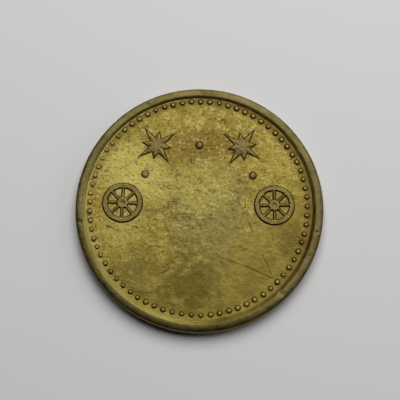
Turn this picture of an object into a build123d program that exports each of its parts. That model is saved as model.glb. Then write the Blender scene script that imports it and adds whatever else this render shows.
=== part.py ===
"""Struck brass transit token: a round disc with a raised rim, a border of small beads and raised devices.

The real token is one piece of metal, struck from one blank. Each region that the dies raise is a node of
its own here, and meets the blank face to face.

Frame: millimetres, +Z up. The origin is at the centre of the face that the back rim rests on.
The front faces +Z, and the devices' axis of symmetry is near +Y.
"""

import os
from math import cos, pi, radians, sin

from build123d import *

# The blank.
token_diameter = 24.0
token_thickness = 1.5  # over both rims
edge_radius = 0.19  # the rounding where each rim's top meets the edge

# The rim, the same on both faces.
rim_width = 0.70  # of the top, from the edge
rim_wall = 0.37  # how far the sloping inner wall reaches from the top to its foot
rim_height = 0.22
rim_corner_radius = 0.10
rim_foot_share = 0.5  # how much of the die's shift the foot of the wall follows

# The bead border, inside the rim.
bead_diameter = 0.56
bead_height = 0.16
bead_gap = 0.11  # from the foot of the rim's inner wall
bead_pitch = 0.908

# The four raised devices and the three round stops between them.
device_gap = 0.80  # from the bead border
device_height = 0.17
device_corner = 0.04  # the chamfer around each device's top
device_axis = 89.0  # degrees from +X
wheel_angle = 88.0  # degrees from the devices' axis, each side
star_angle = 34.6
stop_angle = 59.0
stop_diameter = 0.74
stop_height = 0.14
stop_inset = 1.24  # how far inside the devices' ring the stops lie

wheel_diameter = 3.9
wheel_felloe = 0.52
wheel_hub = 1.12
wheel_spoke = 0.27
wheel_spokes = 8

star_size = 4.2  # over two opposite long rays
star_short_ray = 1.42  # from the centre
star_waist = 0.80  # from the centre to the notch between two rays
star_long_rays = 4

# The back's device.
back_wheel_diameter = 9.6
back_wheel_felloe = 0.80
back_wheel_hub = 2.3
back_wheel_spoke = 0.42
back_wheel_spokes = 8

# How far each die's centre lies from the blank's centre: the token was struck a little off centre.
front_shift = (-0.11, 0.17)
back_shift = (0.06, -0.05)

token_radius = token_diameter / 2
field_thickness = token_thickness - 2 * rim_height
rim_top_radius = token_radius - rim_width
rim_foot_radius = rim_top_radius - rim_wall
bead_ring_radius = rim_foot_radius - bead_gap - bead_diameter / 2
bead_count = round(2 * pi * bead_ring_radius / bead_pitch)
device_reach = max(wheel_diameter, star_size) / 2
device_ring_radius = bead_ring_radius - bead_diameter / 2 - device_gap - device_reach
stop_ring_radius = device_ring_radius - stop_inset

front = Plane.XY.offset(token_thickness - rim_height)
back = Plane(origin=(0, 0, rim_height), x_dir=(-1, 0, 0), z_dir=(0, 0, -1))


def spot(face: Plane, shift: tuple, radius: float, angle: float) -> Plane:
    """The plane on a face at a polar place in its die's frame, with its X axis pointing outwards."""
    x = shift[0] + radius * cos(radians(angle))
    y = shift[1] + radius * sin(radians(angle))
    return Plane(face.location * Location((x, y, 0), (0, 0, angle)))


def raised_rim(face: Plane, shift: tuple) -> BuildPart:
    """The ring around a face. Its inner wall is centred on the blank above and nearer to the die below."""
    outward = Axis(face.origin, face.z_dir)
    with BuildPart() as rim:
        with BuildSketch(face):
            Circle(token_radius)
        extrude(amount=rim_height)
        with BuildSketch(face):
            with Locations((shift[0] * rim_foot_share, shift[1] * rim_foot_share)):
                Circle(rim_foot_radius)
        with BuildSketch(face.offset(rim_height)):
            Circle(rim_top_radius)
        loft(mode=Mode.SUBTRACT)
        fillet(rim.edges().group_by(outward)[-1].sort_by(SortBy.LENGTH)[-1], edge_radius)
        fillet(rim.edges().group_by(outward)[-1].sort_by(SortBy.LENGTH)[0], rim_corner_radius)
    return rim


def domes(places: list, diameter: float, height: float) -> BuildPart:
    """Round-topped spots that stand on a face, one at each place."""
    radius = (diameter**2 / 4 + height**2) / (2 * height)
    with BuildPart() as spots:
        with Locations(*[place.offset(height - radius) for place in places]):
            Sphere(radius)
        split(bisect_by=places[0], keep=Keep.TOP)
    return spots


def wheel(place: Plane, diameter: float, felloe: float, hub: float, spoke: float, spokes: int) -> BuildPart:
    """A spoked wheel in low relief."""
    inside = diameter / 2 - felloe
    spoke_length = inside + felloe / 2
    with BuildPart() as device:
        with BuildSketch(place):
            Circle(diameter / 2)
            Circle(inside, mode=Mode.SUBTRACT)
            with PolarLocations(spoke_length / 2, spokes):
                Rectangle(spoke_length, spoke)
            Circle(hub / 2)
        extrude(amount=device_height)
        chamfer(device.faces().sort_by(Axis(place.origin, place.z_dir))[-1].edges(), device_corner)
    return device


def star(place: Plane) -> BuildPart:
    """A star with long and short rays by turns."""
    step = pi / (2 * star_long_rays)
    reach = (star_size / 2, star_waist, star_short_ray, star_waist)
    corners = [
        (reach[i % 4] * cos(i * step), reach[i % 4] * sin(i * step)) for i in range(4 * star_long_rays)
    ]
    with BuildPart() as device:
        with BuildSketch(place):
            with BuildLine():
                Polyline(*corners, close=True)
            make_face()
        extrude(amount=device_height)
        chamfer(device.faces().sort_by(Axis(place.origin, place.z_dir))[-1].edges(), device_corner)
    return device


def bead_border(face: Plane, shift: tuple) -> BuildPart:
    """The ring of beads inside a rim, in its die's frame."""
    step = 360 / bead_count
    places = [spot(face, shift, bead_ring_radius, i * step) for i in range(bead_count)]
    return domes(places, bead_diameter, bead_height)


def device_spot(angle: float) -> Plane:
    """The place of a front device, at an angle from the devices' axis of symmetry."""
    return spot(front, front_shift, device_ring_radius, device_axis + angle)


wheel_sizes = (wheel_diameter, wheel_felloe, wheel_hub, wheel_spoke, wheel_spokes)
back_wheel_sizes = (
    back_wheel_diameter,
    back_wheel_felloe,
    back_wheel_hub,
    back_wheel_spoke,
    back_wheel_spokes,
)

with BuildPart() as blank:
    with BuildSketch(Plane.XY.offset(rim_height)):
        Circle(token_radius)
    extrude(amount=field_thickness)

stop_places = [
    spot(front, front_shift, stop_ring_radius, device_axis + angle) for angle in (-stop_angle, 0, stop_angle)
]

nodes = {
    "blank": blank,
    "front_rim": raised_rim(front, front_shift),
    "back_rim": raised_rim(back, back_shift),
    "front_bead_border": bead_border(front, front_shift),
    "back_bead_border": bead_border(back, back_shift),
    "left_wheel": wheel(device_spot(wheel_angle), *wheel_sizes),
    "right_wheel": wheel(device_spot(-wheel_angle), *wheel_sizes),
    "left_star": star(device_spot(star_angle)),
    "right_star": star(device_spot(-star_angle)),
    "round_stops": domes(stop_places, stop_diameter, stop_height),
    "back_wheel": wheel(spot(back, back_shift, 0, 0), *back_wheel_sizes),
}

os.makedirs("parts", exist_ok=True)
for name, node in nodes.items():
    node.part.label = name
    export_step(node.part, f"parts/{name}.step")

print("beads on each face:", bead_count)
print("bead ring radius:", round(bead_ring_radius, 3), "device ring radius:", round(device_ring_radius, 3))
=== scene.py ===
"""Looks of a struck brass transit token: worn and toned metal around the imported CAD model.

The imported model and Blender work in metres. Shapes here are worked out in millimetres, in the model's own
frame, and become metres when a mesh is written. Every shape is a function that gives the distance from its
outline, below 0 inside it. The same functions shape the meshes and darken the metal in the materials,
because they take either numpy arrays or the Value class below, which adds shader nodes.
"""

from collections import namedtuple
from math import atan2, cos, hypot, pi, radians, sin

import bpy
import numpy as np
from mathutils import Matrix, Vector


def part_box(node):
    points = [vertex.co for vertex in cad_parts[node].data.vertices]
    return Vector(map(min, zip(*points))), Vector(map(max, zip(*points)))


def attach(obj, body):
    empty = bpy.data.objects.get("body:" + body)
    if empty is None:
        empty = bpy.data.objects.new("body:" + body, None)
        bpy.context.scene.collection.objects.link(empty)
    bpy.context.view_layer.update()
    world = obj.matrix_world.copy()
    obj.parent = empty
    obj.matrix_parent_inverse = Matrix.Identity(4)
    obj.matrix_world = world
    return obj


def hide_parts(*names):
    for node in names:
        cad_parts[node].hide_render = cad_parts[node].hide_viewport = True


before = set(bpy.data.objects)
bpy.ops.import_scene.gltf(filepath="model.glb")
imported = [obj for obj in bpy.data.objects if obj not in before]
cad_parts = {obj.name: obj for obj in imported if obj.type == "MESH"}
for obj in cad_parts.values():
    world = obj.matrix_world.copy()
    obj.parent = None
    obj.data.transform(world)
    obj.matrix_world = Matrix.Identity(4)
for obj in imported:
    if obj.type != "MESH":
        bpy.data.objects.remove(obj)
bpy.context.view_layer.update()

MM = 0.001

# ------------------------------------------------------------ numbers that work on arrays and in shaders


class Value:
    """A number in a material. Arithmetic on it adds math nodes to the material's tree."""

    def __init__(self, tree, socket):
        self.tree = tree
        self.socket = socket

    def __add__(self, other):
        return math_node("ADD", self, other)

    def __sub__(self, other):
        return math_node("SUBTRACT", self, other)

    def __rsub__(self, other):
        return math_node("SUBTRACT", other, self)

    def __mul__(self, other):
        return math_node("MULTIPLY", self, other)

    def __truediv__(self, other):
        return math_node("DIVIDE", self, other)

    def __neg__(self):
        return math_node("MULTIPLY", self, -1.0)

    __radd__ = __add__
    __rmul__ = __mul__


def feed(tree, node, values):
    """Sets a node's first inputs to Values and plain numbers."""
    for slot, value in zip(node.inputs, values):
        if isinstance(value, Value):
            tree.links.new(value.socket, slot)
        else:
            slot.default_value = float(value)


def new_node(kind, values, **settings):
    """The first output of a new node that takes Values and plain numbers."""
    tree = next(v.tree for v in values if isinstance(v, Value))
    node = tree.nodes.new(kind)
    for name, setting in settings.items():
        setattr(node, name, setting)
    feed(tree, node, values)
    return Value(tree, node.outputs[0])


def math_node(operation, *values):
    """A math node on Values and plain numbers."""
    return new_node("ShaderNodeMath", values, operation=operation)


def has_value(*values):
    """Whether a Value is among some numbers."""
    return any(isinstance(v, Value) for v in values)


def either(operation, on_arrays):
    """A function that runs on_arrays on numbers and arrays, and adds a math node for Values."""

    def apply(*values):
        return math_node(operation, *values) if has_value(*values) else on_arrays(*values)

    return apply


least = either("MINIMUM", np.minimum)
most = either("MAXIMUM", np.maximum)
size_of = either("ABSOLUTE", np.abs)
root = either("SQRT", np.sqrt)
sine = either("SINE", np.sin)
cosine = either("COSINE", np.cos)
bearing = either("ARCTAN2", np.arctan2)
nearest = either("ROUND", np.round)


def length(x, y):
    """How far a point is from the origin."""
    return root(x * x + y * y)


def clamp(value):
    """The value, kept from 0 to 1."""
    if has_value(value):
        return new_node("ShaderNodeClamp", [value])
    return np.minimum(np.maximum(value, 0.0), 1.0)


def ramp(value, start, end):
    """A smooth step, from 0 where the value is start to 1 where it is end."""
    if has_value(value, start, end):
        return new_node("ShaderNodeMapRange", [value, start, end], interpolation_type="SMOOTHSTEP")
    t = clamp((value - start) / (end - start))
    return t * t * (3.0 - t * 2.0)


def fold(angle, period):
    """The angle, brought within half a period of 0."""
    return angle - nearest(angle * (1.0 / period)) * period


# ---------------------------------------------------------------- outlines


def round_shape(x, y, radius):
    """A disc."""
    return length(x, y) - radius


def wheel_shape(x, y, wheel):
    """A spoked wheel, from its outside radius, felloe, hub radius, spoke width and number of spokes."""
    outside, felloe, hub, spoke, spokes = wheel
    reach = length(x, y)
    turn = fold(bearing(y, x), 2 * pi / spokes)
    bars = most(size_of(reach * sine(turn)) - spoke / 2, reach - outside + felloe / 2)
    return least(least(size_of(reach - outside + felloe / 2) - felloe / 2, reach - hub), bars)


def beyond(x, y, start, end):
    """How far a point is to the right of the line from start to end."""
    dx, dy = end[0] - start[0], end[1] - start[1]
    scale = 1.0 / hypot(dx, dy)
    return (x - start[0]) * (dy * scale) - (y - start[1]) * (dx * scale)


def star_shape(x, y, star):
    """A star of four long rays and four short ones, from their reach and the reach of the notches."""
    long_reach, short_reach, waist = star
    reach = length(x, y)
    turn = size_of(fold(bearing(y, x), pi / 2))
    u, v = reach * cosine(turn), reach * sine(turn)
    notch = (waist * cos(pi / 8), waist * sin(pi / 8))
    short_tip = (short_reach * cos(pi / 4), short_reach * sin(pi / 4))
    return least(beyond(u, v, (long_reach, 0.0), notch), beyond(u, v, notch, short_tip))


def line_shape(x, y, start, end):
    """The distance from a straight line's nearest point."""
    dx, dy = end[0] - start[0], end[1] - start[1]
    along = clamp(((x - start[0]) * dx + (y - start[1]) * dy) * (1.0 / (dx * dx + dy * dy)))
    return length(x - start[0] - along * dx, y - start[1] - along * dy)


# ---------------------------------------------------------------- sizes and places, read from the frame


def corners(node):
    """A node's lowest and highest corners, in millimetres."""
    low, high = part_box(node)
    return np.array(low) / MM, np.array(high) / MM


def middle(node):
    """The middle of a node's box, seen from above."""
    low, high = corners(node)
    return (low + high)[:2] / 2


def points_of(node):
    """The places of a node's vertices, in millimetres."""
    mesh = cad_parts[node].data
    flat = np.empty(len(mesh.vertices) * 3)
    mesh.vertices.foreach_get("co", flat)
    return flat.reshape(-1, 3) / MM


SPOT_GAP = 0.2  # less than lies between two round solids of a node


def spots_of(node, centre):
    """The angle and radius about centre of each of a node's small round solids."""
    x, y = (points_of(node)[:, :2] - centre).T
    angle = np.arctan2(y, x)
    order = np.argsort(angle)
    angle, x, y = angle[order], x[order], y[order]
    gaps = np.diff(np.append(angle, angle[0] + 2 * pi)) * length(x, y)
    first = (np.argmax(gaps) + 1) % len(angle)
    starts = np.flatnonzero(np.roll(gaps, -first)[:-1] > SPOT_GAP) + 1
    groups = zip(np.split(np.roll(x, -first), starts), np.split(np.roll(y, -first), starts))
    places = [((gx.min() + gx.max()) / 2, (gy.min() + gy.max()) / 2) for gx, gy in groups]
    return [(atan2(py, px), hypot(px, py)) for px, py in places]


BLANK_LOW, BLANK_HIGH = corners("blank")
RADIUS = float(BLANK_HIGH[0])
BACK_Z, FRONT_Z = float(BLANK_LOW[2]), float(BLANK_HIGH[2])  # the two fields, which the reliefs stand on
RIM_HEIGHT = BACK_Z

# The reliefs' sizes, as the CAD has them. A reach is a radius.
BEAD_REACH, BEAD_HEIGHT = 0.28, 0.16
STOP_REACH, STOP_HEIGHT = 0.37, 0.14
DEVICE_HEIGHT = 0.17
WHEEL = (1.95, 0.52, 0.56, 0.27, 8)  # outside radius, felloe, hub radius, spoke width and number of spokes
BACK_WHEEL = (4.8, 0.80, 1.15, 0.42, 8)
STAR = (2.1, 1.42, 0.80)  # from the centre to a long tip, to a short tip and to a notch

LEVEL_SLACK = 0.001  # how near a vertex's height has to be to a level to count as on it
CORNER_SLACK = 0.1  # farther in than this from the token's edge, a rim's vertex belongs to the inner wall

# A device: its place, the angle it is turned by, its outline's function and sizes, and its height.
Device = namedtuple("Device", "place turn shape sizes height")


class Face:
    """One struck face: its level, the die's centre on it, and the outlines of what stands on it."""

    def __init__(self, side, level, up):
        self.side = side
        self.level = level
        self.up = up
        points = points_of(f"{side}_bead_border")[:, :2]
        self.centre = (points.min(0) + points.max(0)) / 2
        self.beads = spots_of(f"{side}_bead_border", self.centre)
        self.bead_ring = float(np.mean([radius for angle, radius in self.beads]))
        rim = points_of(f"{side}_rim")
        inside = length(rim[:, 0], rim[:, 1]) < RADIUS - CORNER_SLACK
        at_foot = rim[inside & (np.abs(rim[:, 2] - level) < LEVEL_SLACK), :2]
        at_top = rim[inside & (np.abs(rim[:, 2] - level - up * RIM_HEIGHT) < LEVEL_SLACK), :2]
        # The inner wall's foot has its own centre. Its top is centred on the blank.
        self.foot_centre = (at_foot.min(0) + at_foot.max(0)) / 2
        self.foot = float(length(*(at_foot - self.foot_centre).T).mean())
        self.top = float(length(*at_top.T).min())
        self.shapes = {}

    def add(self, name, place, shape, sizes, height):
        """A device: its outline's function and sizes, its place and its height."""
        out = np.array(place) - self.centre
        turn = float(np.arctan2(out[1], out[0]))
        self.shapes[name] = Device(tuple(map(float, place)), turn, shape, sizes, height)

    def device(self, name, x, y):
        """The distance from one device's outline."""
        device = self.shapes[name]
        x, y = x - device.place[0], y - device.place[1]
        along, across = cos(device.turn), sin(device.turn)
        return device.shape(x * along + y * across, y * along - x * across, device.sizes)

    def rim(self, x, y):
        """The distance from the foot of the rim's inner wall."""
        return self.foot - length(x - float(self.foot_centre[0]), y - float(self.foot_centre[1]))

    def wall(self, x, y):
        """How far up the rim's inner wall a point lies: 0 at the foot, 1 at the top."""
        above_foot = -self.rim(x, y)
        return above_foot / most(above_foot + self.top - length(x, y), 0.1)

    def border(self, x, y):
        """The distance from the nearest bead."""
        x, y = x - float(self.centre[0]), y - float(self.centre[1])
        reach = length(x, y)
        first = self.beads[0][0]
        turn = fold(bearing(y, x) - first, 2 * pi / len(self.beads))
        return length(reach - self.bead_ring, turn * self.bead_ring) - BEAD_REACH

    def devices(self, x, y, names):
        """The distance from the nearest of some devices."""
        away = RADIUS
        for name in names:
            away = least(away, self.device(name, x, y))
        return away

    def distance(self, x, y):
        """The distance from the nearest raised outline on this face, below 0 on what is raised."""
        return least(least(self.rim(x, y), self.border(x, y)), self.devices(x, y, self.shapes))


front = Face("front", FRONT_Z, 1)
back = Face("back", BACK_Z, -1)
for side in ("left", "right"):
    front.add(f"{side}_wheel", middle(f"{side}_wheel"), wheel_shape, WHEEL, DEVICE_HEIGHT)
    front.add(f"{side}_star", middle(f"{side}_star"), star_shape, STAR, DEVICE_HEIGHT)
stops = spots_of("round_stops", front.centre)
for i, (angle, radius) in enumerate(stops):
    spot = front.centre + radius * np.array((cos(angle), sin(angle)))
    front.add(f"stop_{i}", spot, round_shape, STOP_REACH, STOP_HEIGHT)
back.add("back_wheel", middle("back_wheel"), wheel_shape, BACK_WHEEL, DEVICE_HEIGHT)

# ---------------------------------------------------------------- wear

# Scratches on the front, about its die's centre: start, end, width and depth.
SCRATCHES = [
    ((2.14, -5.00), (4.55, -5.85), 0.07, 0.016),
    ((4.55, -5.85), (7.02, -6.98), 0.10, 0.022),
    ((6.15, -4.75), (6.55, -5.60), 0.10, 0.020),
    ((6.55, -5.60), (7.05, -6.75), 0.08, 0.016),
    ((-3.50, -6.50), (-2.70, -6.10), 0.10, 0.026),
    ((4.50, 0.80), (4.55, -0.10), 0.09, 0.022),
    ((4.55, -0.10), (4.20, -0.20), 0.08, 0.018),
    ((3.80, 0.90), (4.07, 0.09), 0.07, 0.014),
    ((4.65, -1.20), (5.05, -2.00), 0.08, 0.018),
    ((5.05, -2.00), (5.25, -2.60), 0.08, 0.018),
    ((0.50, 6.10), (2.50, 6.05), 0.06, 0.010),
    ((-2.90, -1.00), (-1.70, -1.45), 0.08, 0.016),
    ((-1.75, -0.80), (-0.20, -0.65), 0.06, 0.012),
]
# Pits on the front, about its die's centre: place, radius and depth.
PITS = [
    ((2.43, 8.50), 0.15, 0.05),
    ((-5.20, 4.50), 0.07, 0.02),
    ((7.50, -7.30), 0.22, 0.06),
    ((-4.15, 7.05), 0.12, 0.03),
]
# Nicks in the front rim's top: direction, distance from the blank's centre, spread and depth.
RIM_NICKS = [
    (radians(-12.0), 11.55, 0.16, 0.05),
    (radians(-24.0), 11.50, 0.10, 0.04),
    (radians(-47.0), 11.40, 0.28, 0.06),
    (radians(31.0), 11.45, 0.14, 0.04),
    (radians(116.0), 11.60, 0.20, 0.03),
    (radians(187.0), 11.50, 0.18, 0.05),
]
# The fields' random bumps: how wide and how high they are, and whether they are higher in the middle.
FIELD_BUMPS = [
    (3.7, 0.010, False),
    (1.3, 0.0070, False),
    (0.62, 0.0070, False),
    (0.30, 0.0110, True),
    (0.19, 0.0060, True),
]
FIELD_HAIRLINES = 90
HAIRLINE_REACH = 9.5  # how far from the die's centre a hairline's middle may be
NOISE_CELLS = 128  # after this many bumps each way, the noise repeats


def bell(away, spread):
    """1 at a place, falling smoothly to almost 0 at twice the spread."""
    return np.exp(-((away / spread) ** 2))


def lattice_noise(x, y, bump, seed):
    """Smooth random heights from -1 to 1, whose bumps are about this many millimetres across."""
    table = np.random.default_rng(seed).uniform(-1, 1, (NOISE_CELLS, NOISE_CELLS))
    u, v = x / bump + 50.0, y / bump + 50.0
    i, j = np.floor(u).astype(int), np.floor(v).astype(int)
    s, t = u - i, v - j
    s, t = s * s * (3 - 2 * s), t * t * (3 - 2 * t)
    i, j, i1, j1 = (n % NOISE_CELLS for n in (i, j, i + 1, j + 1))
    low = table[i, j] * (1 - s) + table[i1, j] * s
    high = table[i, j1] * (1 - s) + table[i1, j1] * s
    return low * (1 - t) + high * t


def hairlines(count, seed):
    """Short fine scratches in random places, mostly across the face."""
    rng = np.random.default_rng(seed)
    lines = []
    for _ in range(count):
        reach, direction = HAIRLINE_REACH * np.sqrt(rng.random()), rng.uniform(0, 2 * pi)
        turn = rng.normal(0.1, 0.5)
        half = rng.uniform(0.2, 1.1) / 2
        cx, cy = reach * cos(direction), reach * sin(direction)
        start = (cx - half * cos(turn), cy - half * sin(turn))
        end = (cx + half * cos(turn), cy + half * sin(turn))
        lines.append((start, end, rng.uniform(0.05, 0.08), rng.uniform(0.004, 0.011)))
    return lines


def field_height(face, x, y, seed):
    """How far the struck field stands above its level: waves, grain, scratches and pits."""
    die_x, die_y = x - face.centre[0], y - face.centre[1]
    reach = length(die_x, die_y)
    distance = face.distance(x, y)
    middle_roughness = 0.5 + 0.5 * (1 - ramp(reach, 4.0, 8.0))
    height = 0.0
    for step, (bump, rise, rougher) in enumerate(FIELD_BUMPS):
        rise = rise * middle_roughness if rougher else rise
        height = height + rise * lattice_noise(x, y, bump, seed + step)
    scratches, pits = (SCRATCHES, PITS) if face.side == "front" else ([], [])
    for start, end, width, depth in scratches + hairlines(FIELD_HAIRLINES, seed + len(FIELD_BUMPS)):
        away = line_shape(die_x, die_y, start, end)
        height = height - depth * bell(away, 0.6 * width)
        height = height + 0.35 * depth * bell(away - 1.3 * width, 0.7 * width)  # the burr beside it
    for place, radius, depth in pits:
        height = height - depth * bell(length(die_x - place[0], die_y - place[1]), radius)
    # The metal is smoother beside what is raised, curves up to the rim, and is level under the rim.
    height = height * (0.2 + 0.8 * ramp(distance, 0.0, 0.45))
    cove = 0.03 * (1 - ramp(face.rim(x, y), 0.0, 0.42))
    return (height + cove) * (1 - ramp(-face.rim(x, y), 0.05, 0.2))


# ---------------------------------------------------------------- meshes


def write_mesh(name, points, faces):
    """A smooth-shaded mesh object from places in millimetres."""
    mesh = bpy.data.meshes.new(name)
    mesh.from_pydata((np.asarray(points) * MM).tolist(), [], faces)
    mesh.validate()
    mesh.shade_smooth()
    piece = bpy.data.objects.new(name, mesh)
    bpy.context.scene.collection.objects.link(piece)
    return piece


SKIRT = 0.05  # how far outside its outline a relief's mesh reaches
SINK = 0.03  # how far under the field that skirt ends
EDGE_SETBACK = 0.018  # keeps the dented edge within the CAD's edge


def raised(distance, height, slope=0.15):
    """A relief's height by the distance from its outline: a dipping foot, a steep wall, a round shoulder."""
    return (height + SINK) * ramp(-distance, -SKIRT, slope - SKIRT) - SINK


def wall_radius(angle, level):
    """The radius of the token's edge: almost round, with small dents."""
    around = angle * RADIUS
    dents = 0.010 * lattice_noise(around, level, 2.3, 71)
    dents = dents + 0.006 * lattice_noise(around, level * 3, 0.5, 72)
    return RADIUS - EDGE_SETBACK + dents


def closed_strip(first, second):
    """The quads between two rings of points of the same length."""
    count = len(first)
    return [(first[i], second[i], second[(i + 1) % count], first[(i + 1) % count]) for i in range(count)]


def turned(faces):
    """The faces, turned to look the other way."""
    return [tuple(reversed(face)) for face in faces]


def columns_of(x, y, z):
    """Points as rows of x, y and z, from arrays of any one shape."""
    return np.column_stack((x.ravel(), y.ravel(), z.ravel()))


def grid_faces(rows, columns, closed=False):
    """The quads between the points of a grid, row by row, which may close round on itself."""
    faces = []
    last = columns if closed else columns - 1
    for r in range(rows - 1):
        for c in range(last):
            n = (c + 1) % columns
            faces.append((r * columns + c, r * columns + n, (r + 1) * columns + n, (r + 1) * columns + c))
    return faces


def disc_grid(cells, radius):
    """A square grid bent into a disc, whose outermost points are evenly spaced round it."""
    a, b = np.meshgrid(np.linspace(-1, 1, cells + 1), np.linspace(-1, 1, cells + 1))
    wide = np.abs(a) > np.abs(b)
    longer = np.where(wide, a, b)
    ratio = np.where(wide, b, a) / np.where(longer == 0, 1, longer)
    turn = np.where(wide, pi / 4 * ratio, pi / 2 - pi / 4 * ratio)
    return radius * longer * np.cos(turn), radius * longer * np.sin(turn)


def rim_of_grid(cells):
    """The indices of a disc grid's outermost points, anticlockwise from the lower left corner."""
    row = cells + 1
    bottom = list(range(cells))
    right = [r * row + cells for r in range(cells)]
    top = [cells * row + c for c in range(cells, 0, -1)]
    left = [r * row for r in range(cells, 0, -1)]
    return bottom + right + top + left


CELLS = 256  # of the front field's grid, each way
AROUND = 4 * CELLS
START_ANGLE = -3 * pi / 4  # the direction of the grid's lower left corner
ANGLES = START_ANGLE + 2 * pi * np.arange(AROUND) / AROUND
EDGE_ROWS = 7
DENTS_FROM = 11.3  # how far out the edge's dents begin to move the field's points
BACK_INSET = 0.05  # how far the back field's grid stops short of the edge


def make_blank():
    """The token's body: the front field, the edge and a coarser back field, as one closed mesh."""
    x, y = disc_grid(CELLS, RADIUS)
    angle = np.arctan2(y, x)
    shrink = wall_radius(np.where(angle < START_ANGLE, angle + 2 * pi, angle), FRONT_Z) / RADIUS
    shrink = 1 + (shrink - 1) * ramp(length(x, y), DENTS_FROM, RADIUS)
    x, y = x * shrink, y * shrink
    z = FRONT_Z + field_height(front, x, y, 11)
    points = [columns_of(x, y, z)]
    faces = grid_faces(CELLS + 1, CELLS + 1)
    count = len(points[0])
    previous = rim_of_grid(CELLS)
    for level in np.linspace(FRONT_Z, BACK_Z, EDGE_ROWS + 1)[1:]:
        radius = wall_radius(ANGLES, level)
        points.append(columns_of(radius * np.cos(ANGLES), radius * np.sin(ANGLES), np.full(AROUND, level)))
        current = list(range(count, count + AROUND))
        faces += closed_strip(previous, current)
        count += AROUND
        previous = current
    coarse = CELLS // 2
    x, y = disc_grid(coarse, RADIUS - BACK_INSET)
    points.append(columns_of(x, y, BACK_Z - field_height(back, x, y, 31)))
    faces += [tuple(count + i for i in face) for face in turned(grid_faces(coarse + 1, coarse + 1))]
    # The back's grid has half as many points round it as the edge, so each of its sides meets two.
    inner = [count + i for i in rim_of_grid(coarse)]
    for i in range(len(inner)):
        n = (i + 1) % len(inner)
        a, b, c = previous[2 * i], previous[2 * i + 1], previous[(2 * i + 2) % AROUND]
        faces.append((a, inner[i], inner[n], c, b))
    return write_mesh("blank_body", np.vstack(points), faces)


def rim_wear(face, x, y, seed):
    """How deep a rim's top is worn."""
    wear = 0.008 + 0.007 * lattice_noise(x, y, 1.9, seed) + 0.006 * lattice_noise(x, y, 0.36, seed + 1)
    for turn, reach, spread, depth in RIM_NICKS if face.side == "front" else []:
        wear = wear + depth * bell(length(x - reach * cos(turn), y - reach * sin(turn)), spread)
    return np.maximum(wear, 0)


def make_rim(face, name, seed):
    """A face's rim: a sloping inner wall, a narrow crowned top and a well rounded outer corner."""
    # The outer corner is rounded more widely in the south of the front.
    south = (0.5 - 0.5 * np.sin(ANGLES + radians(5.0))) * (1.0 if face.side == "front" else 0.1)
    round_width = 0.34 + 0.26 * south
    round_drop = 0.13 + 0.07 * south
    cx, cy = face.foot_centre
    along = cx * np.cos(ANGLES) + cy * np.sin(ANGLES)
    across = cy * np.cos(ANGLES) - cx * np.sin(ANGLES)
    uneven = 0.03 * lattice_noise(ANGLES * RADIUS, 0 * ANGLES, 0.9, seed + 2)
    foot = along + np.sqrt((face.foot + uneven) ** 2 - across**2)
    crest = face.top - 0.02
    rows = []

    def row(radius, height, worn=True):
        x, y = radius * np.cos(ANGLES), radius * np.sin(ANGLES)
        if worn:
            height = height - rim_wear(face, x, y, seed) * ramp(height, 0.05, RIM_HEIGHT)
        rows.append(np.column_stack((x, y, face.level + face.up * (height + 0 * x))))

    # From the wall's foot, at 0, to its crest, at 1, and a little past both.
    for step in np.linspace(-0.25, 1.15, 16):
        dip = 0.05 * (1 - ramp(step, -0.25, 0.0))
        row(foot + step * (crest - foot), RIM_HEIGHT * ramp(step, -0.12, 1.08) - dip)
    outside = wall_radius(ANGLES, face.level + face.up * (RIM_HEIGHT - round_drop))
    for bend in np.linspace(0, pi / 2, 12):
        row(outside - round_width * (1 - sin(bend)), RIM_HEIGHT - round_drop * (1 - cos(bend)))
    row(wall_radius(ANGLES, face.level), 0.0, worn=False)
    row(foot + 0.02, -0.08, worn=False)
    faces = grid_faces(len(rows), AROUND, closed=True)
    last = (len(rows) - 1) * AROUND
    faces += closed_strip(range(AROUND), range(last, last + AROUND))
    return write_mesh(name, np.vstack(rows), turned(faces) if face.up > 0 else faces)


SPOT_RINGS, SPOT_SIDES = 12, 28
SPOT_SLOPE = 0.22  # how far in from its outline a spot's wall rises


def make_spots(face, name, spots, reach, height, seed, spread):
    """Round-topped spots, each a little different in place, size and height by about the spread."""
    rng = np.random.default_rng(seed)
    turns = 2 * pi * np.arange(SPOT_SIDES) / SPOT_SIDES
    points, faces = [], []
    for angle, radius in spots:
        weak = height * (1 - 0.45 * weak_strike(face, angle))
        grown = reach * rng.uniform(1 - spread, 1 + spread)
        tall = weak * rng.uniform(1 - 2 * spread, 1.0)
        x = face.centre[0] + radius * cos(angle) + rng.normal(0, 0.2 * spread)
        y = face.centre[1] + radius * sin(angle) + rng.normal(0, 0.2 * spread)
        oval, lobed = rng.uniform(0, pi), rng.uniform(0, pi)
        uneven = 1 + 0.05 * np.cos(2 * (turns - oval)) + 0.03 * np.cos(3 * (turns - lobed))
        first = len(points)
        points.append((x, y, face.level + face.up * tall))
        for ring in range(1, SPOT_RINGS + 1):
            share = ring / SPOT_RINGS * (1 + SKIRT / grown)
            level = raised((share - 1) * grown, tall, SPOT_SLOPE)
            if share < 1:
                level = min(level, tall * np.sqrt(max(1 - (0.93 * share) ** 2, 0)))
            for turn, stretch in zip(turns, uneven):
                r = share * grown * stretch
                points.append((x + r * cos(turn), y + r * sin(turn), face.level + face.up * level))
        rings = [range(n, n + SPOT_SIDES) for n in range(first + 1, len(points), SPOT_SIDES)]
        shell = [(first, rings[0][i], rings[0][(i + 1) % SPOT_SIDES]) for i in range(SPOT_SIDES)]
        for inner, outer in zip(rings, rings[1:]):
            shell += closed_strip(inner, outer)
        shell.append(tuple(reversed(rings[-1])))
        faces += shell if face.up > 0 else turned(shell)
    return write_mesh(name, points, faces)


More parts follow.
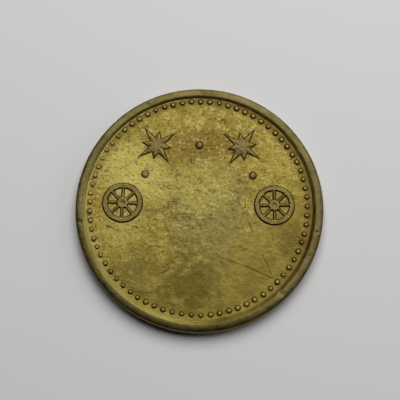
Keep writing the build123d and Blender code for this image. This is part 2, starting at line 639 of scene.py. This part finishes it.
def weak_strike(face, angle):
    """How weakly the die struck at an angle: the front's left side is faint."""
    if face.side == "back":
        return 0.3 * max(cos(angle - radians(40)), 0) ** 4
    return max(cos(angle - radians(162)), 0) ** 6


RELIEF_ROOT = 0.06  # how far under the field a device's mesh is closed


def make_relief(face, name, device, height_of, step):
    """A raised device: a fine grid that follows its outline, its foot under the field, closed below."""
    place, turn, _, sizes, height = face.shapes[device]
    reach = sizes[0] + 2 * SKIRT
    count = int(2 * reach / step) + 2
    line = np.linspace(-reach, reach, count)
    u, v = np.meshgrid(line, line)
    x = place[0] + u * cos(turn) - v * sin(turn)
    y = place[1] + u * sin(turn) + v * cos(turn)
    # Points near the wall's foot and shoulder move onto them, so that both stay crisp.
    nudge = 0.001
    for level in (-0.10, 0.0):
        away = face.device(device, x, y)
        slope_x = (face.device(device, x + nudge, y) - face.device(device, x - nudge, y)) / (2 * nudge)
        slope_y = (face.device(device, x, y + nudge) - face.device(device, x, y - nudge)) / (2 * nudge)
        move = np.where(np.abs(away - level) < 0.4 * step, away - level, 0)
        x, y = x - slope_x * move, y - slope_y * move
    away = face.device(device, x, y)
    z = height_of(x, y, away, height)
    # The grid's squares that reach the relief or its skirt are kept.
    at_corners = np.array((away[:-1, :-1], away[1:, :-1], away[:-1, 1:], away[1:, 1:]))
    rows, columns = np.nonzero((at_corners.max(0) < SKIRT + step) & (at_corners.min(0) < SKIRT))
    low, high = rows * count + columns, (rows + 1) * count + columns
    used, quads = np.unique(np.column_stack((low, low + 1, high + 1, high)), return_inverse=True)
    quads = quads.reshape(-1, 4).tolist()
    top = columns_of(x, y, face.level + face.up * z)[used]
    bottom = top.copy()
    bottom[:, 2] = face.level - face.up * RELIEF_ROOT
    total = len(top)
    edges = dict.fromkeys((a, b) for quad in quads for a, b in zip(quad, quad[1:] + quad[:1]))
    sides = [(a, a + total, b + total, b) for a, b in edges if (b, a) not in edges]
    faces = quads + [tuple(i + total for i in quad) for quad in turned(quads)] + sides
    return write_mesh(name, np.vstack((top, bottom)), turned(faces) if face.up < 0 else faces)


def wheel_height(face, device):
    """A wheel's height: a flat felloe, a hub with a dimple and lower spokes, worn unevenly."""
    place = face.shapes[device].place
    outside, felloe, hub = face.shapes[device].sizes[:3]

    def at(x, y, away, height):
        reach = length(x - place[0], y - place[1])
        worn = 0.008 + 0.006 * lattice_noise(x, y, 0.9, 41) + 0.004 * lattice_noise(x, y, 0.22, 42)
        dimple = 0.05 * bell(reach, 0.35 * hub)
        low_spokes = 0.02 * ramp(reach, hub, hub + 0.2) * ramp(outside - felloe - reach, -0.1, 0.1)
        return raised(away, height) - (worn + dimple + low_spokes) * ramp(-away, 0.0, 0.12)

    return at


def star_height(face, device):
    """A star's height: each ray has a ridge, which falls towards its tip."""
    place, long_reach = face.shapes[device].place, face.shapes[device].sizes[0]

    def at(x, y, away, height):
        worn = 0.006 + 0.005 * lattice_noise(x, y, 0.8, 51) + 0.004 * lattice_noise(x, y, 0.22, 52)
        facet = 0.045 * (1 - ramp(-away, 0.05, 0.34))
        reach = length(x - place[0], y - place[1])
        fall = 0.035 * ramp(reach, 0.9, long_reach)
        return raised(away, height) - (worn + facet + fall) * ramp(-away, 0.0, 0.12)

    return at


# ---------------------------------------------------------------- materials


def srgb(red, green, blue):
    """A colour from 0 to 255, as the linear values that shaders take."""
    channels = [c / 255 for c in (red, green, blue)]
    return tuple(c / 12.92 if c <= 0.04045 else ((c + 0.055) / 1.055) ** 2.4 for c in channels) + (1.0,)


def joined(tree, x, y, z):
    """A vector from three Values or numbers."""
    node = tree.nodes.new("ShaderNodeCombineXYZ")
    feed(tree, node, (x, y, z))
    return node.outputs[0]


def noise(tree, x, y, z, bump, detail=2.0, stretch=1.0, seed=0):
    """Noise from about -1 to 1, whose bumps are about this many millimetres across."""
    node = tree.nodes.new("ShaderNodeTexNoise")
    node.inputs["Scale"].default_value = 1.0 / bump
    node.inputs["Detail"].default_value = detail
    node.inputs["Roughness"].default_value = 0.55
    tree.links.new(joined(tree, x * (1.0 / stretch) + 17.0 * seed, y, z), node.inputs["Vector"])
    return (Value(tree, node.outputs[0]) - 0.5) * 3.0


def mixed(tree, share, first, second):
    """A colour between two others."""
    node = tree.nodes.new("ShaderNodeMix")
    node.data_type = "RGBA"
    tree.links.new(share.socket, node.inputs[0])
    for slot, colour in ((node.inputs[6], first), (node.inputs[7], second)):
        if isinstance(colour, tuple):
            slot.default_value = colour
        else:
            tree.links.new(colour, slot)
    return node.outputs[2]


STUDIO_GAIN = 1.68  # how much lighter than its base colour the metal looks in this studio


def metal(red, green, blue):
    """The base colour of metal that looks like this colour, from 0 to 255, in this studio."""
    return tuple(c / STUDIO_GAIN for c in srgb(red, green, blue)[:3]) + (1.0,)


GOLD = metal(166, 146, 66)
YELLOW = metal(194, 180, 94)
PALE = metal(208, 194, 116)
OLIVE = metal(124, 109, 50)
SAGE = metal(140, 128, 74)
OCHRE = metal(140, 116, 56)
UMBER = metal(88, 68, 28)
BRONZE = metal(116, 95, 44)
DARK_OLIVE = metal(104, 90, 40)
# Dark cracks and grime, and painted shade at the foot of the reliefs and the rim.
GRIME_AND_SHADE = metal(58, 41, 16)
TONED = metal(140, 122, 76)
TONED_DARK = metal(112, 93, 52)
EDGE = metal(186, 164, 104)
RIM_LIGHT = metal(146, 132, 84)
RIM_DARK = metal(92, 84, 46)
RUST = metal(92, 62, 30)

# Patches of colour on each face: place about the die's centre, radius, share and colour. The front's are
# lighter and yellower in the west.
FRONT_PATCHES = [
    ((1.2, -1.2), 5.6, 0.80, SAGE),
    ((0.2, 5.8), 3.6, 0.80, BRONZE),
    ((-4.6, -3.0), 3.0, 0.45, GOLD),
    ((-0.8, -7.6), 3.8, 0.75, DARK_OLIVE),
    ((-6.2, -6.4), 3.0, 0.45, OLIVE),
    ((6.0, -6.0), 3.4, 0.45, OLIVE),
    ((-8.2, -3.0), 3.0, 0.85, GOLD),
    ((-10.4, 0.6), 2.4, 0.80, GOLD),
    ((-7.0, 3.8), 3.4, 0.90, YELLOW),
    ((-4.2, 2.2), 2.4, 0.65, YELLOW),
    ((0.4, 2.3), 3.2, 0.50, YELLOW),
    ((-7.4, -1.6), 2.6, 0.55, YELLOW),
    ((-7.2, 1.6), 1.8, 0.45, PALE),
    ((-3.2, 8.4), 1.8, 0.50, GOLD),
    ((0.2, 9.0), 1.6, 0.55, GOLD),
    ((7.4, 3.6), 2.7, 0.65, GOLD),
    ((4.6, -3.6), 1.8, 0.45, GOLD),
    ((5.4, 7.6), 1.8, 0.40, OLIVE),
    ((8.4, -3.6), 2.2, 0.60, DARK_OLIVE),
    ((10.0, -3.4), 0.9, 0.75, RUST),
    ((2.43, 8.50), 0.5, 0.70, RUST),
]
BACK_PATCHES = [
    ((-3.0, 6.5), 5.0, 0.6, SAGE),
    ((5.5, -5.0), 5.0, 0.6, DARK_OLIVE),
    ((-7.5, -4.0), 2.6, 0.6, YELLOW),
    ((0.0, 0.0), 1.6, 0.5, OCHRE),
]


def near(value, start, end):
    """1 where a value is within start of 0, and 0 where it is farther from 0 than end."""
    return 1.0 - ramp(size_of(value), start, end)


class Brass:
    """One face's metal while its nodes are added: where a point is, its noises and its colour so far."""

    def __init__(self, tree, face):
        self.tree = tree
        self.face = face
        coordinates = tree.nodes.new("ShaderNodeTexCoord")
        split = tree.nodes.new("ShaderNodeSeparateXYZ")
        tree.links.new(coordinates.outputs["Object"], split.inputs[0])
        x, y, z = (Value(tree, s) * (1 / MM) for s in split.outputs)
        self.x, self.y = x, y
        self.die_x, self.die_y = x - float(face.centre[0]), y - float(face.centre[1])
        self.wall = face.wall(x, y)
        self.bead = face.border(x, y)
        self.away = face.devices(x, y, face.shapes)

        self.broad = noise(tree, x, y, z, 2.6, 3.0, seed=1)
        self.mottle = noise(tree, x, y, z, 0.80, 4.0, seed=2)
        self.grain = noise(tree, x, y, z, 0.26, 3.0, seed=3)
        self.streak = noise(tree, x, y, z, 0.12, 2.0, stretch=4.0, seed=4)
        self.veins = noise(tree, x, y, z, 0.95, 3.0, stretch=2.2, seed=5)
        self.bare = noise(tree, x, y, z, 1.3, 2.0, seed=6)

        # How toned and how worn the metal is: it has toned most in the east, and is worn most in the north.
        # The worn share also sets how strong the field's painted glints are.
        self.toned = ramp(self.die_y * 0.45 + self.die_x * 0.9, -7.0, 4.0)
        self.worn = ramp(self.die_y * 0.9 - self.die_x * 0.35 + self.broad * 1.5, -8.0, 1.5) * 0.75 + 0.25
        self.cracks = (
            near(self.veins + self.streak * 0.06, 0.01, 0.055)
            * ramp(self.bare + self.mottle * 0.4, 0.1, 0.4)
            * self.worn
        )
        self.colour = OLIVE

    def tint(self, share, tone):
        """Mixes a share of another colour into the metal's."""
        self.colour = mixed(self.tree, share, self.colour, tone)


def tint_field(brass, patches):
    """The field: listed patches, then flecks of each tone, and cracks."""
    broad, mottle, grain, streak = brass.broad, brass.mottle, brass.grain, brass.streak
    bare, worn = brass.bare, brass.worn
    brass.tint(clamp(0.5 + broad * 0.5 + mottle * 0.5), GOLD)
    brass.tint(ramp(broad * 0.6 - mottle * 0.5 + bare * 0.4, 0.1, 0.9) * 0.45, YELLOW)
    for place, radius, share, tone in patches:
        apart = length(brass.die_x - place[0], brass.die_y - place[1]) * (1.0 / radius)
        apart = apart + mottle * 0.30 + broad * 0.30
        brass.tint((1.0 - ramp(apart, 0.3, 1.15)) * share, tone)
    brass.tint(ramp(mottle + bare * 0.5, 0.05, 0.8) * worn * 0.50, SAGE)
    brass.tint(ramp(bare * 0.5 - mottle, 0.05, 0.8) * worn * 0.50, OCHRE)
    # Pale flecks on the grain: partly pale metal, partly painted glints.
    brass.tint(ramp(mottle * 0.7 + grain * 0.7 + streak * 0.15, -0.05, 0.65) * worn * 0.8, PALE)
    brass.tint(ramp(-grain - mottle * 0.4 - streak * 0.2, 0.05, 0.75) * worn * 0.85, UMBER)
    brass.tint(brass.cracks * 0.8, GRIME_AND_SHADE)


def tint_border(brass):
    """The bead border and the rim's inner wall, with painted light: brown painted shade, partly toning, in
    the north and east, a painted highlight on the wall that is brightest in the west, and painted shade on
    the wall in the south-east.
    """
    die_x, die_y, mottle, wall = brass.die_x, brass.die_y, brass.mottle, brass.wall
    beyond_beads = length(die_x, die_y) - brass.face.bead_ring
    # Brown in the bead band, most in the north: partly toning, partly painted shade.
    brass.tint(near(beyond_beads, 0.25, 0.60) * ramp(die_y + mottle * 3.0, 0.0, 7.0) * 0.55, BRONZE)
    # Painted shade, brown, on the outer bead band and the rim's wall in the east.
    eastern = ramp(die_x * 0.9 + die_y * 0.35 + mottle, -1.0, 8.0)
    brass.tint(ramp(beyond_beads, -0.3, 0.3) * eastern * 0.75, BRONZE)
    # Painted highlight, yellow, on the rim's inner wall, with pale in the west; painted shade, umber, on the
    # wall in the south-east.
    slope = ramp(wall, eastern * 0.2 - 0.2, eastern * 0.2 + 0.15) * (1.0 - ramp(wall, 0.8, 1.05))
    shaded = ramp(die_x * 0.75 - die_y * 0.65, 5.0, 9.5)
    brass.tint(slope * (1.0 - brass.toned * 0.25) * (1.0 - shaded) * 0.90, YELLOW)
    brass.tint(slope * ramp(-die_x, 5.0, 10.0) * 0.55, PALE)
    brass.tint(slope * shaded * 0.25, UMBER)


def rim_tone(brass):
    """The colour of a rim's top, with painted shade in the south-west and at its inner edge in the north."""
    tree, broad, mottle, grain, bare = brass.tree, brass.broad, brass.mottle, brass.grain, brass.bare
    tone = mixed(tree, clamp(0.5 + broad * 0.6 + mottle * 0.6 + grain * 0.4), RIM_DARK, RIM_LIGHT)
    tone = mixed(tree, ramp(bare + mottle * 0.4, 0.1, 0.7) * 0.60, tone, TONED)
    # Painted shade on the rim in the south-west.
    tone = mixed(tree, ramp(-brass.die_y - brass.die_x * 0.5, 3.0, 10.0) * 0.40, tone, UMBER)
    # Painted shade at the rim's inner edge in the north.
    return mixed(tree, (1.0 - ramp(brass.wall, 1.0, 1.4)) * ramp(brass.die_y, 0.0, 6.0) * 0.50, tone, UMBER)


def tint_reliefs(brass):
    """What is raised: toned tops, a pale outer edge that is partly wear and partly painted light, painted
    highlights on the beads' tops, and shoulders rubbed pale with a painted highlight.
    """
    mottle, grain = brass.mottle, brass.grain
    device_tone = mixed(brass.tree, clamp(0.5 + mottle * 0.6 + grain * 0.3), TONED_DARK, TONED)
    brass.tint(ramp(-brass.away, 0.02, 0.09) * 0.85, device_tone)
    brass.tint(ramp(brass.wall, 0.6, 0.95) * 0.9, rim_tone(brass))
    # The outer edge: partly rubbed pale, partly painted light on its side wall.
    brass.tint(ramp(length(brass.x, brass.y), RADIUS - 0.08, RADIUS - 0.03) * 0.8, EDGE)
    # Painted highlights on the beads' tops.
    brass.tint(ramp(-brass.bead, 0.08, 0.18) * clamp(0.15 + brass.toned * 0.15), PALE)
    # Pale shoulders on the devices: rubbed wear and a painted highlight.
    brass.tint(near(brass.away + 0.12, 0.02, 0.08) * ramp(grain + mottle * 0.7, -0.4, 0.7) * 0.45, PALE)


def tint_corners(brass):
    """Toning and painted shade round the beads, and grime and painted shade at the foot of the devices and
    the rim's inner wall. Gives how grimy and shaded a point is.
    """
    mottle, toned = brass.mottle, brass.toned
    # Umber rings round the beads: toning and painted shade at their foot.
    brass.tint(near(brass.bead - 0.01, 0.02, 0.12) * clamp(0.1 + mottle * 0.6 + toned * 0.5) * 0.75, UMBER)
    # Dark lines at the foot of the devices and of the rim's wall: grime and painted shade.
    crevice = near(brass.away + 0.005, 0.02, 0.09) * clamp(0.8 + mottle * 0.5) * 0.75
    groove = near(brass.wall, 0.0, 0.16) * clamp(0.05 + mottle * 0.5 + toned * 0.1) * 0.4
    dirt_and_shade = most(crevice, groove)
    brass.tint(dirt_and_shade, GRIME_AND_SHADE)
    return dirt_and_shade


def tint_scratches(brass):
    """Dark bottoms for the listed scratches."""
    mark = None
    for start, end, width, _ in SCRATCHES:
        line = line_shape(brass.die_x, brass.die_y, start, end) * (1.0 / width)
        mark = line if mark is None else least(mark, line)
    brass.tint((1.0 - ramp(mark, 0.2, 0.9)) * clamp(0.7 + brass.grain * 0.5), UMBER)


def brass_tree(tree, face, patches):
    """The colour, roughness and fine height of one face's metal, from where a point is on it."""
    brass = Brass(tree, face)
    tint_field(brass, patches)
    tint_border(brass)
    tint_reliefs(brass)
    dirt_and_shade = tint_corners(brass)
    if face.side == "front":
        tint_scratches(brass)
    roughness = 0.50 + brass.mottle * 0.06 + brass.grain * 0.06 + dirt_and_shade * 0.25
    height = brass.grain * 0.0065 + brass.mottle * 0.0050 + brass.streak * 0.0022 - brass.cracks * 0.0080
    return brass.colour, clamp(roughness), height


def make_material(name, faces_and_patches):
    """A brass material that shows one face's metal, or both faces' with the edge between them."""
    material = bpy.data.materials.new(name)
    material.use_nodes = True
    tree = material.node_tree
    shader = tree.nodes["Principled BSDF"]
    shader.inputs["Metallic"].default_value = 1.0
    results = [brass_tree(tree, face, patches) for face, patches in faces_and_patches]
    colour, roughness, height = results[0]
    if len(results) == 2:
        split = tree.nodes.new("ShaderNodeSeparateXYZ")
        coordinates = tree.nodes.new("ShaderNodeTexCoord")
        tree.links.new(coordinates.outputs["Object"], split.inputs[0])
        z = Value(tree, split.outputs[2]) * (1 / MM)
        below = 1.0 - ramp(z, BACK_Z + 0.2, FRONT_Z - 0.2)
        colour = mixed(tree, below, colour, results[1][0])
        roughness = roughness * (1.0 - below) + results[1][1] * below
        height = height * (1.0 - below) + results[1][2] * below
    tree.links.new(colour, shader.inputs["Base Color"])
    tree.links.new(roughness.socket, shader.inputs["Roughness"])
    bump = tree.nodes.new("ShaderNodeBump")
    bump.inputs["Distance"].default_value = MM
    tree.links.new(height.socket, bump.inputs["Height"])
    tree.links.new(bump.outputs[0], shader.inputs["Normal"])
    return material


# ---------------------------------------------------------------- the pieces

both = make_material("worn_brass", [(front, FRONT_PATCHES), (back, BACK_PATCHES)])
front_brass = make_material("front_relief_brass", [(front, FRONT_PATCHES)])
back_brass = make_material("back_relief_brass", [(back, BACK_PATCHES)])


BEAD_SPREAD, STOP_SPREAD = 0.12, 0.05  # how much the spots differ in size
FRONT_STEP, BACK_STEP = 0.035, 0.06  # the devices' grids


def stand_for(piece, material, node):
    """Gives a piece its material, hangs it on the root body and hides the CAD node it stands for."""
    piece.data.materials.append(material)
    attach(piece, "root")
    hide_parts(node)


def stand_for_device(face, node, height_of, material, step):
    """A device's mesh in its CAD node's place."""
    piece = make_relief(face, f"{node}_relief", node, height_of(face, node), step)
    stand_for(piece, material, node)


stand_for(make_blank(), both, "blank")
for face, material, seed in ((front, front_brass, 61), (back, back_brass, 65)):
    rim = make_rim(face, f"{face.side}_rim_ring", seed)
    stand_for(rim, material, f"{face.side}_rim")
for face, material, seed in ((front, front_brass, 81), (back, back_brass, 82)):
    beads = make_spots(face, f"{face.side}_beads", face.beads, BEAD_REACH, BEAD_HEIGHT, seed, BEAD_SPREAD)
    stand_for(beads, material, f"{face.side}_bead_border")
stop_dots = make_spots(front, "stops", stops, STOP_REACH, STOP_HEIGHT, 83, STOP_SPREAD)
stand_for(stop_dots, front_brass, "round_stops")
for side in ("left", "right"):
    stand_for_device(front, f"{side}_wheel", wheel_height, front_brass, FRONT_STEP)
    stand_for_device(front, f"{side}_star", star_height, front_brass, FRONT_STEP)
stand_for_device(back, "back_wheel", wheel_height, back_brass, BACK_STEP)

# ---------------------------------------------------------------- floor, light and camera


FLOOR_REACH = 400.0
FLOOR_DROP = 0.01  # keeps the paper clear of the back rim, which rests on it
CAMERA_AIM = (0.05, 0.83, 1.28)
CAMERA_ELEVATION = 78.0  # from the bead ring's ellipse
CAMERA_DISTANCE = 113.0


def make_floor():
    """A wide sheet of plain pale paper."""
    corner = FLOOR_REACH
    floor = write_mesh(
        "paper",
        [(-corner, -corner, 0), (corner, -corner, 0), (corner, corner, 0), (-corner, corner, 0)],
        [(0, 1, 2, 3)],
    )
    material = bpy.data.materials.new("paper")
    material.use_nodes = True
    shader = material.node_tree.nodes["Principled BSDF"]
    shader.inputs["Base Color"].default_value = srgb(224, 224, 224)
    shader.inputs["Roughness"].default_value = 0.9
    shader.inputs["Specular IOR Level"].default_value = 0.1
    floor.data.materials.append(material)
    floor.location.z = -FLOOR_DROP * MM


def look_at(thing, target):
    """Turns a lamp or camera to face a place."""
    thing.rotation_euler = (Vector(target) - thing.location).to_track_quat("-Z", "Y").to_euler()


def polar(azimuth, elevation, distance):
    """A place by its compass bearing from +Y, its height above the floor in degrees, and its distance."""
    turn, rise = radians(azimuth), radians(elevation)
    return Vector((sin(turn) * cos(rise), cos(turn) * cos(rise), sin(rise))) * distance * MM


def add_lamp(name, azimuth, elevation, distance, width, watts):
    """A square soft light that faces the token."""
    lamp = bpy.data.lights.new(name, "AREA")
    lamp.size = width * MM
    lamp.energy = watts
    holder = bpy.data.objects.new(name, lamp)
    holder.location = polar(azimuth, elevation, distance)
    bpy.context.scene.collection.objects.link(holder)
    look_at(holder, (0, 0, 0))


def add_camera():
    """A camera high over the token, a little to the south of it."""
    camera = bpy.data.objects.new("camera", bpy.data.cameras.new("camera"))
    bpy.context.scene.collection.objects.link(camera)
    aim = Vector(CAMERA_AIM) * MM
    camera.location = aim + polar(180.0, CAMERA_ELEVATION, CAMERA_DISTANCE)
    look_at(camera, aim)
    camera.data.lens = 105.0
    camera.data.clip_start = 0.01
    camera.data.clip_end = 10.0
    bpy.context.scene.camera = camera


def add_world():
    """A dim room, lighter overhead and to the north than low in the south."""
    world = bpy.data.worlds.new("studio")
    world.use_nodes = True
    tree = world.node_tree
    coordinates = tree.nodes.new("ShaderNodeTexCoord")
    split = tree.nodes.new("ShaderNodeSeparateXYZ")
    tree.links.new(coordinates.outputs["Generated"], split.inputs[0])
    x, y, z = (Value(tree, s) for s in split.outputs)
    high = ramp(y * 0.9 + z * 0.55 + x * 0.28, -0.3, 0.7) * 0.33
    low = (1.0 - ramp(size_of(z), 0.05, 0.45)) * (1.0 - ramp(y, -0.4, 0.6)) * 0.14
    tree.links.new((high + low + 0.155).socket, tree.nodes["Background"].inputs[1])
    bpy.context.scene.world = world


make_floor()
add_lamp("key", 11.0, 60.0, 220.0, 190.0, 0.46)
add_lamp("window", 77.0, 29.0, 300.0, 150.0, 0.12)
add_camera()
add_world()
bpy.context.scene.view_settings.view_transform = "Standard"
